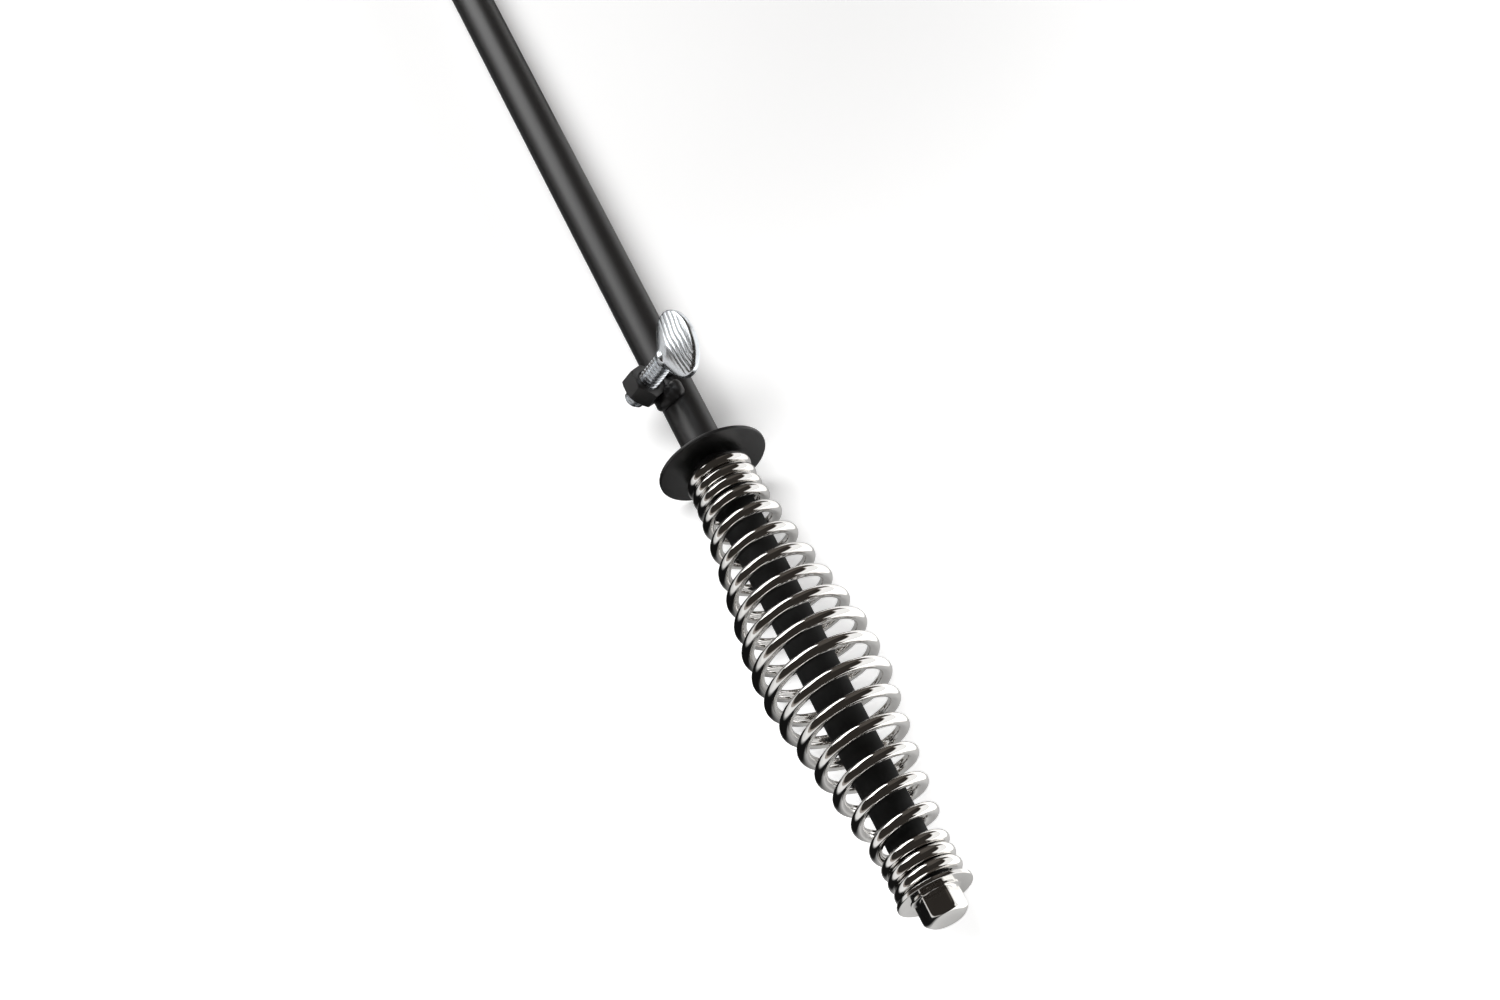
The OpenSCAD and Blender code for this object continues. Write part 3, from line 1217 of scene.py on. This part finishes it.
# %% Press the die lines
LINE_DEPTH = 0.085 * MM
LINE_SPACING = 1.55 * MM
LINES_FROM = 5.2 * MM
LINES_TO = 14.0 * MM
FADE_LOW = 2 * MM
FADE_HIGH = 1 * MM
FLAT_FROM = 0.8
FLAT_RANGE = 0.15
WANDER = 0.35
WANDER_SIZE = 7 * MM
WANDER_DEPTH = 0.2
WING_TURN = math.radians(-3)

flats = [clamped((abs(v.normal.y) - FLAT_FROM) / FLAT_RANGE) for v in spade.data.vertices]
for vertex, flat in zip(spade.data.vertices, flats):
    x, y, z = vertex.co
    wander = WANDER * noise.noise(Vector((x, y * WANDER_DEPTH, z)) / WANDER_SIZE)
    grooves = 0.5 - 0.5 * math.cos(2 * math.pi * (z / LINE_SPACING + wander))
    inside = clamped((z - LINES_FROM) / FADE_LOW) * clamped((LINES_TO - z) / FADE_HIGH)
    vertex.co.y -= math.copysign(LINE_DEPTH * grooves**2 * inside * flat, y)
shape_with(spade, "SMOOTH", factor=0.5, iterations=3)
stand(
    spade,
    ON_SCREW
    @ Matrix.Translation((0, 0, NUT_H / 2 + SCREW_OUT))
    @ Matrix.Rotation(WING_TURN, 4, "Z"),
)
smooth(spade, 60)
dress(spade, bright_zinc, "screw_head", "bright_zinc", "thumb_screw_head")

# %% [markdown]
# ## The plug
#
# The plug inside the tube's end is a plain turned piece that hardly shows, so the solid from
# the frame stays and only gets its finish.

# %% Plug finish
plug = frame["nodes"]["end_plug"]
plug.data.materials.clear()
plug.data.materials.append(plug_steel)
print("kept from the frame:", plug.name)

# %% [markdown]
# ## The floor
#
# The handle lies on a white sheet, on the guard's rim and the spring's belly. The line through
# the lowest points of these two gives the sheet its tilt.

# %% Floor
FLOOR_SIZE = 8
FLOOR_GAP = 0.05 * MM

belly_foot = Vector((GUARD_FACE + GRIP_LEN / 2, 0, -(BELLY_R + WIRE_R)))
guard_foot = Vector((GUARD_FACE, 0, -GUARD_R))
floor_tilt = math.atan2(guard_foot.z - belly_foot.z, belly_foot.x - guard_foot.x)

bpy.ops.mesh.primitive_plane_add(
    size=FLOOR_SIZE,
    location=belly_foot - Vector((0, 0, FLOOR_GAP)),
    rotation=(0, floor_tilt, 0),
)
floor = named("white_floor")
floor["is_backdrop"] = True
print(f"the sheet is tilted by {math.degrees(floor_tilt):.2f} degrees")

# %% [markdown]
# ## What the floor shows to mirrors
#
# Polished wire is a mirror, and a mirror only looks like metal when it has dark things to show
# beside the bright ones. In a studio, white, grey and black cards are laid round such a piece.
# Here the camera sees the sheet white, and mirrors see painted reflections of stripes along the
# tube instead. They are white far out on the right, grey from the tube to there, dark close by
# on the left and grey further out on the left. The dark and grey stripes near the tube are
# painted shade, which stands for the shade round the handle.
#
# The sheet is lit from above and also glows by itself, to the camera and to mirrors only.
# The glow is weak near the tube's mouth, and rises to white with the distance from the mouth,
# so that the far sheet, which the light hardly reaches, stays white.

# %% Floor finish
FLOOR_WHITE = 0.9
FLOOR_GLOW = 0.14

# the distances from the tube's mouth between which the glow rises to white
GLOW_RISE = (0.12, 0.5)

# where each soft edge starts and ends: Y across the tube, and X along it for the last
WHITE_RIGHT = (38 * MM, 48 * MM)
GREY_LEFT = (-50 * MM, -85 * MM)
UNDER_LEFT = (-22 * MM, -8 * MM)
UNDER_RIGHT = (18 * MM, 12 * MM)
MIDDLE_LEFT = (-14 * MM, -5 * MM)
MIDDLE_FROM = (73 * MM, 81 * MM)

# how bright each stripe is, where white is 1
DARK_LEVEL = 0.02
LEFT_LEVEL = 0.5
UNDER_LEVEL = 0.25
MIDDLE_LEVEL = 0.42


def painted_mirror_stripes(tree, axes):
    """The painted brightness that mirrors see on the sheet, from 0 to 1, with painted shade near
    the tube.
    """
    along = axes["X"]
    across = axes["Y"]
    under = combined(
        tree,
        "MULTIPLY",
        stepped(tree, across, *UNDER_LEFT, DARK_LEVEL, 1.0),
        stepped(tree, across, *UNDER_RIGHT, DARK_LEVEL, UNDER_LEVEL),
    )
    middle = combined(
        tree,
        "MULTIPLY",
        stepped(tree, across, *MIDDLE_LEFT),
        stepped(tree, along, *MIDDLE_FROM, 0.0, MIDDLE_LEVEL),
    )
    left = stepped(tree, across, *GREY_LEFT, 0.0, LEFT_LEVEL)
    stripes = stepped(tree, across, *WHITE_RIGHT)
    for stripe in (under, left, middle):
        stripes = combined(tree, "MAXIMUM", stripes, stripe)
    return stripes


def make_floor_finish():
    finish, tree, shader = new_finish("white_sheet", Roughness=0.9, Specular_IOR_Level=0.0)
    rays = add(tree, "ShaderNodeLightPath").outputs
    place, axes = coordinates(tree, "Object")
    # to mirrors the sheet shows the painted stripes, in its glow and its colour: a painted
    # reflection, dark near the tube as painted shade
    painted_mirror_shade = combined(tree, "SUBTRACT", 1.0, painted_mirror_stripes(tree, axes))
    taken = combined(tree, "MULTIPLY", rays["Is Glossy Ray"], painted_mirror_shade)
    kept = combined(tree, "SUBTRACT", 1.0, taken)
    seen = combined(tree, "MAXIMUM", rays["Is Camera Ray"], rays["Is Glossy Ray"])
    distance = add(tree, "ShaderNodeVectorMath", operation="LENGTH")
    join_up(tree, (place, distance.inputs[0]))
    level = stepped(tree, distance.outputs["Value"], *GLOW_RISE, FLOOR_GLOW, 1.0)
    glow = combined(tree, "MULTIPLY", combined(tree, "MULTIPLY", seen, kept), level)
    emission = add(tree, "ShaderNodeEmission")
    both = add(tree, "ShaderNodeAddShader")
    join_up(
        tree,
        (combined(tree, "MULTIPLY", kept, FLOOR_WHITE), shader.inputs["Base Color"]),
        (glow, emission.inputs["Strength"]),
        (shader.outputs[0], both.inputs[0]),
        (emission.outputs[0], both.inputs[1]),
        (both.outputs[0], tree.nodes["Material Output"].inputs["Surface"]),
    )
    return finish


floor.data.materials.append(make_floor_finish())
print("finish of the sheet:", floor.data.materials[0].name)

# %% [markdown]
# ## The lamps
#
# Two soft lamps share the work. The diffuser above lights the sheet and the paint and makes
# the shadow, and mirrors don't see it. The softbox on the left is there for mirrors only: it
# draws the bright line along the tops of the turns and on the paint.

# %% Lamps
GRIP_MIDDLE = Vector((0.3, 0, 0))


def soft_lamp(name, location, size, power):
    """A soft rectangular lamp that points at the grip, and that the camera doesn't see."""
    bpy.ops.object.light_add(type="AREA", location=location)
    lamp = bpy.context.object
    lamp.name = name
    lamp.data.shape = "RECTANGLE"
    lamp.data.size, lamp.data.size_y = size
    lamp.data.energy = power
    lamp.rotation_euler = (GRIP_MIDDLE - lamp.location).to_track_quat("-Z", "Y").to_euler()
    lamp.visible_camera = False
    print(f"{name}: {power} W, {size[0]} x {size[1]} m")
    return lamp


diffuser = soft_lamp(
    "overhead_diffuser", location=(0.08, -0.42, 0.9), size=(0.6, 0.6), power=11.0
)
diffuser.visible_glossy = False
softbox = soft_lamp(
    "back_left_softbox", location=(-0.70, -0.45, 0.49), size=(1.0, 0.7), power=6.5
)
softbox.visible_diffuse = False

# %% [markdown]
# ## The room
#
# The room is white to the camera. To the handle it is dim, with a bright wall on the right, low
# grey walls on the left and behind the camera, and a tall and much darker one beyond the tube.
# They fill the mirrors where these look past the sheet. The dimmer a wall is, the warmer is
# its colour.

# %% Room
ROOM_LEVEL = 0.03
ROOM_SHADE = (1.0, 0.87, 0.76)

# two azimuths, the elevation of the top and the softness of the edges in degrees, and the level
WALLS = (
    (39, 121, 31, 3, 1.05),
    (-118, -12, 6, 4, 0.40),
    (-14, 41, 0, 4, 0.20),
    (125, 200, 80, 8, 0.09),
)


def wall(tree, axes, azimuth, start_deg, end_deg, top_deg, soft_deg, level):
    """A wall between two azimuths, with a soft border, that reaches up to an elevation."""
    start, end, soft = (math.radians(v) for v in (start_deg, end_deg, soft_deg))
    top = math.sin(math.radians(top_deg))
    start_edge = stepped(tree, azimuth, start - soft, start + soft)
    end_edge = stepped(tree, azimuth, end + soft, end - soft)
    top_edge = stepped(tree, axes["Z"], top + soft, top - soft, 0.0, level)
    sides = combined(tree, "MULTIPLY", start_edge, end_edge)
    return combined(tree, "MULTIPLY", top_edge, sides)


def make_room():
    world = bpy.data.worlds.new("studio_room")
    world.use_nodes = True
    tree = world.node_tree
    rays = add(tree, "ShaderNodeLightPath").outputs
    _, axes = coordinates(tree, "Generated")
    azimuth = combined(tree, "ARCTAN2", axes["Y"], axes["X"])
    room = ROOM_LEVEL
    for numbers in WALLS:
        room = combined(tree, "MAXIMUM", room, wall(tree, axes, azimuth, *numbers))
    strength = combined(tree, "MAXIMUM", room, rays["Is Camera Ray"])
    colour = blend_colours(tree, strength, ROOM_SHADE, (1, 1, 1))
    background = tree.nodes["Background"]
    join_up(
        tree,
        (strength, background.inputs["Strength"]),
        (colour, background.inputs["Color"]),
    )
    return world


bpy.context.scene.world = make_room()
bpy.context.scene.view_settings.view_transform = "Standard"
print("walls in the room:", len(WALLS))

# %% [markdown]
# ## The last measures
#
# The dressed handle is meant to stay in the box of its solids, so the last step measures the
# box of the dressed pieces and prints by how much it grows past that of the solids.

# %% Print how much the box grows
visual_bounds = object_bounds()
grown = [round((b - a) / MM, 2) for a, b in zip(cad_bounds[1], visual_bounds[1])]
print("grows by mm:", grown)
